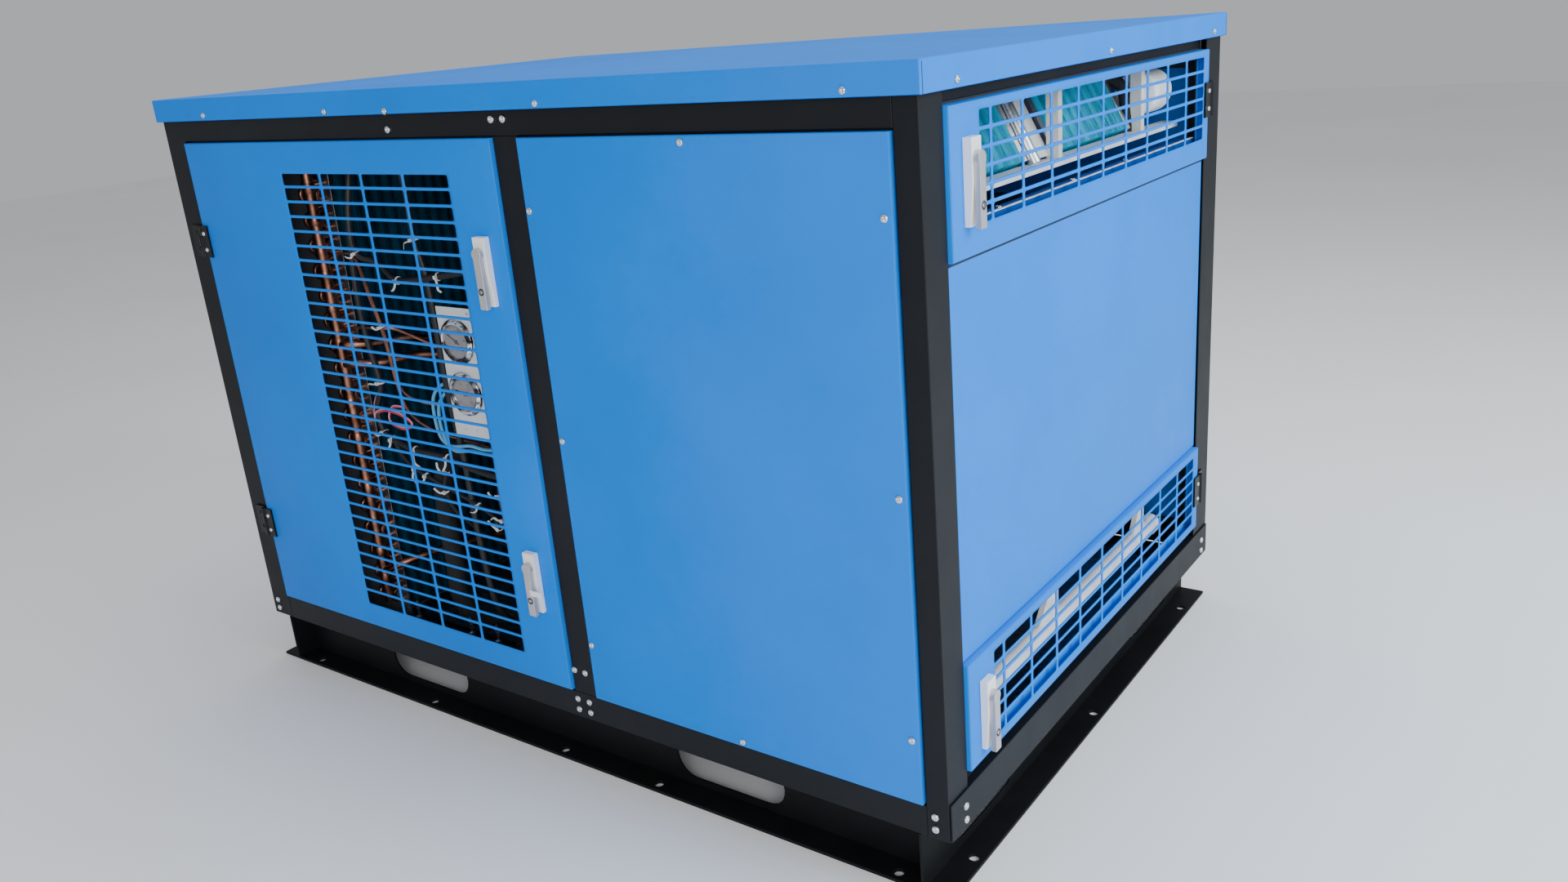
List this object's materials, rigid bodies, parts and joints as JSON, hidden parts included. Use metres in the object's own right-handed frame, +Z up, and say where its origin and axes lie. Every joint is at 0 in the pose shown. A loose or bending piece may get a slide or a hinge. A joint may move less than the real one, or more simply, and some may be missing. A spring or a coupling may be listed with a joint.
{
  "type": "refrigerated air dryer",
  "caption": "Refrigerated compressed-air dryer in a blue sheet-metal cabinet with grille doors, on a black skid with fork-lift slots.",
  "frame": {"origin": "on the floor, under the middle of the cabinet", "axes": "+X to the right along the front, +Y from the front to the rear, +Z up"},
  "size_m": [1.8032, 1.2592, 1.252],
  "materials": {
    "frame_black": "fine-textured powder coat",
    "cabinet_blue": "satin powder coat",
    "galvanised": "galvanised sheet",
    "latch_metal": "satin zinc die-casting",
    "hinge_black": "satin black",
    "gauge_plate": "satin white",
    "gauge_chrome": "polished",
    "needle_black": "matt black",
    "condenser_fin": "blue-coated fins",
    "coated_fin": "teal hydrophilic coating",
    "compressor_paint": "satin black",
    "insulation": "closed-cell foam",
    "fan_metal": "black coated",
    "motor_paint": "satin grey",
    "box_grey": "light grey texture",
    "gland_plastic": "moulded nylon"
  },
  "bodies": {
    "cabinet": {"skid_rail_front": "frame_black", "skid_rail_rear": "frame_black", "skid_rail_right": "frame_black", "skid_rail_left": "frame_black", "corner_post_front_left": "frame_black", "corner_post_front_right": "frame_black", "corner_post_rear_left": "frame_black", "corner_post_rear_right": "frame_black", "bottom_beam_front": "frame_black", "bottom_beam_rear": "frame_black", "bottom_beam_right": "frame_black", "bottom_beam_left": "frame_black", "top_beam_front": "frame_black", "top_beam_rear": "frame_black", "top_beam_right": "frame_black", "top_beam_left": "frame_black", "centre_post_front": "frame_black", "centre_post_rear": "frame_black", "roof_cover": "cabinet_blue", "front_fixed_panel": "cabinet_blue", "middle_end_panel": "cabinet_blue", "left_end_panel": "cabinet_blue", "rear_fan_panel": "cabinet_blue", "rear_pipe_panel": "cabinet_blue", "floor_pan": "galvanised", "coil_ledge": "galvanised", "front_upper_hinge_frame_leaf": "hinge_black", "front_lower_hinge_frame_leaf": "hinge_black", "upper_end_hinge_frame_leaf": "hinge_black", "lower_end_hinge_frame_leaf": "hinge_black", "gauge_panel": "gauge_plate", "high_side_gauge": "gauge_chrome", "low_side_gauge": "gauge_chrome", "condenser_coil": "condenser_fin", "end_coil_front": "coated_fin", "end_coil_rear": "coated_fin", "compressor": "compressor_paint", "heat_exchanger": "insulation", "fan_motor": "motor_paint", "electrical_box": "box_grey", "cable_gland": "gland_plastic"},
    "front_door": {"front_door": "cabinet_blue", "front_upper_latch_base": "latch_metal", "front_lower_latch_base": "latch_metal", "front_upper_hinge_door_leaf": "hinge_black", "front_lower_hinge_door_leaf": "hinge_black"},
    "upper_end_door": {"upper_end_door": "cabinet_blue", "upper_end_latch_base": "latch_metal", "upper_end_hinge_door_leaf": "hinge_black"},
    "lower_end_door": {"lower_end_door": "cabinet_blue", "lower_end_latch_base": "latch_metal", "lower_end_hinge_door_leaf": "hinge_black"},
    "front_upper_lever": {"front_upper_latch_lever": "latch_metal"},
    "front_lower_lever": {"front_lower_latch_lever": "latch_metal"},
    "upper_end_lever": {"upper_end_latch_lever": "latch_metal"},
    "lower_end_lever": {"lower_end_latch_lever": "latch_metal"},
    "fan": {"fan_blade": "fan_metal"},
    "high_side_needle": {"high_side_needle": "needle_black"},
    "low_side_needle": {"low_side_needle": "needle_black"}
  },
  "joints": [
    {"name": "front_door_hinge", "type": "hinge", "parent": "cabinet", "child": "front_door", "pos_m": [-0.812, -0.6095, 0.659], "axis": [0, 0, -1], "range_deg": [0, 110]},
    {"name": "upper_end_door_hinge", "type": "hinge", "parent": "cabinet", "child": "upper_end_door", "pos_m": [0.8815, 0.524, 1.096], "axis": [0, 0, 1], "range_deg": [0, 110]},
    {"name": "lower_end_door_hinge", "type": "hinge", "parent": "cabinet", "child": "lower_end_door", "pos_m": [0.8815, 0.524, 0.286], "axis": [0, 0, 1], "range_deg": [0, 110]},
    {"name": "front_upper_latch_turn", "type": "hinge", "parent": "front_door", "child": "front_upper_lever", "pos_m": [0.043, -0.62, 0.98], "axis": [0, 1, 0], "range_deg": [0, 90]},
    {"name": "front_lower_latch_turn", "type": "hinge", "parent": "front_door", "child": "front_lower_lever", "pos_m": [0.043, -0.62, 0.41], "axis": [0, 1, 0], "range_deg": [0, 90]},
    {"name": "upper_end_latch_turn", "type": "hinge", "parent": "upper_end_door", "child": "upper_end_lever", "pos_m": [0.89, -0.487, 1.117], "axis": [1, 0, 0], "range_deg": [0, 90]},
    {"name": "lower_end_latch_turn", "type": "hinge", "parent": "lower_end_door", "child": "lower_end_lever", "pos_m": [0.89, -0.487, 0.311], "axis": [1, 0, 0], "range_deg": [0, 90]},
    {"name": "fan_spin", "type": "hinge", "parent": "cabinet", "child": "fan", "pos_m": [-0.2, 0.52, 0.64], "axis": [0, 1, 0], "continuous": true},
    {"name": "high_side_needle_turn", "type": "hinge", "parent": "cabinet", "child": "high_side_needle", "pos_m": [-0.121, -0.566, 0.803], "axis": [0, 1, 0], "range_deg": [-75, 195]},
    {"name": "low_side_needle_turn", "type": "hinge", "parent": "cabinet", "child": "low_side_needle", "pos_m": [-0.121, -0.566, 0.704], "axis": [0, 1, 0], "range_deg": [-60, 210]}
  ]
}
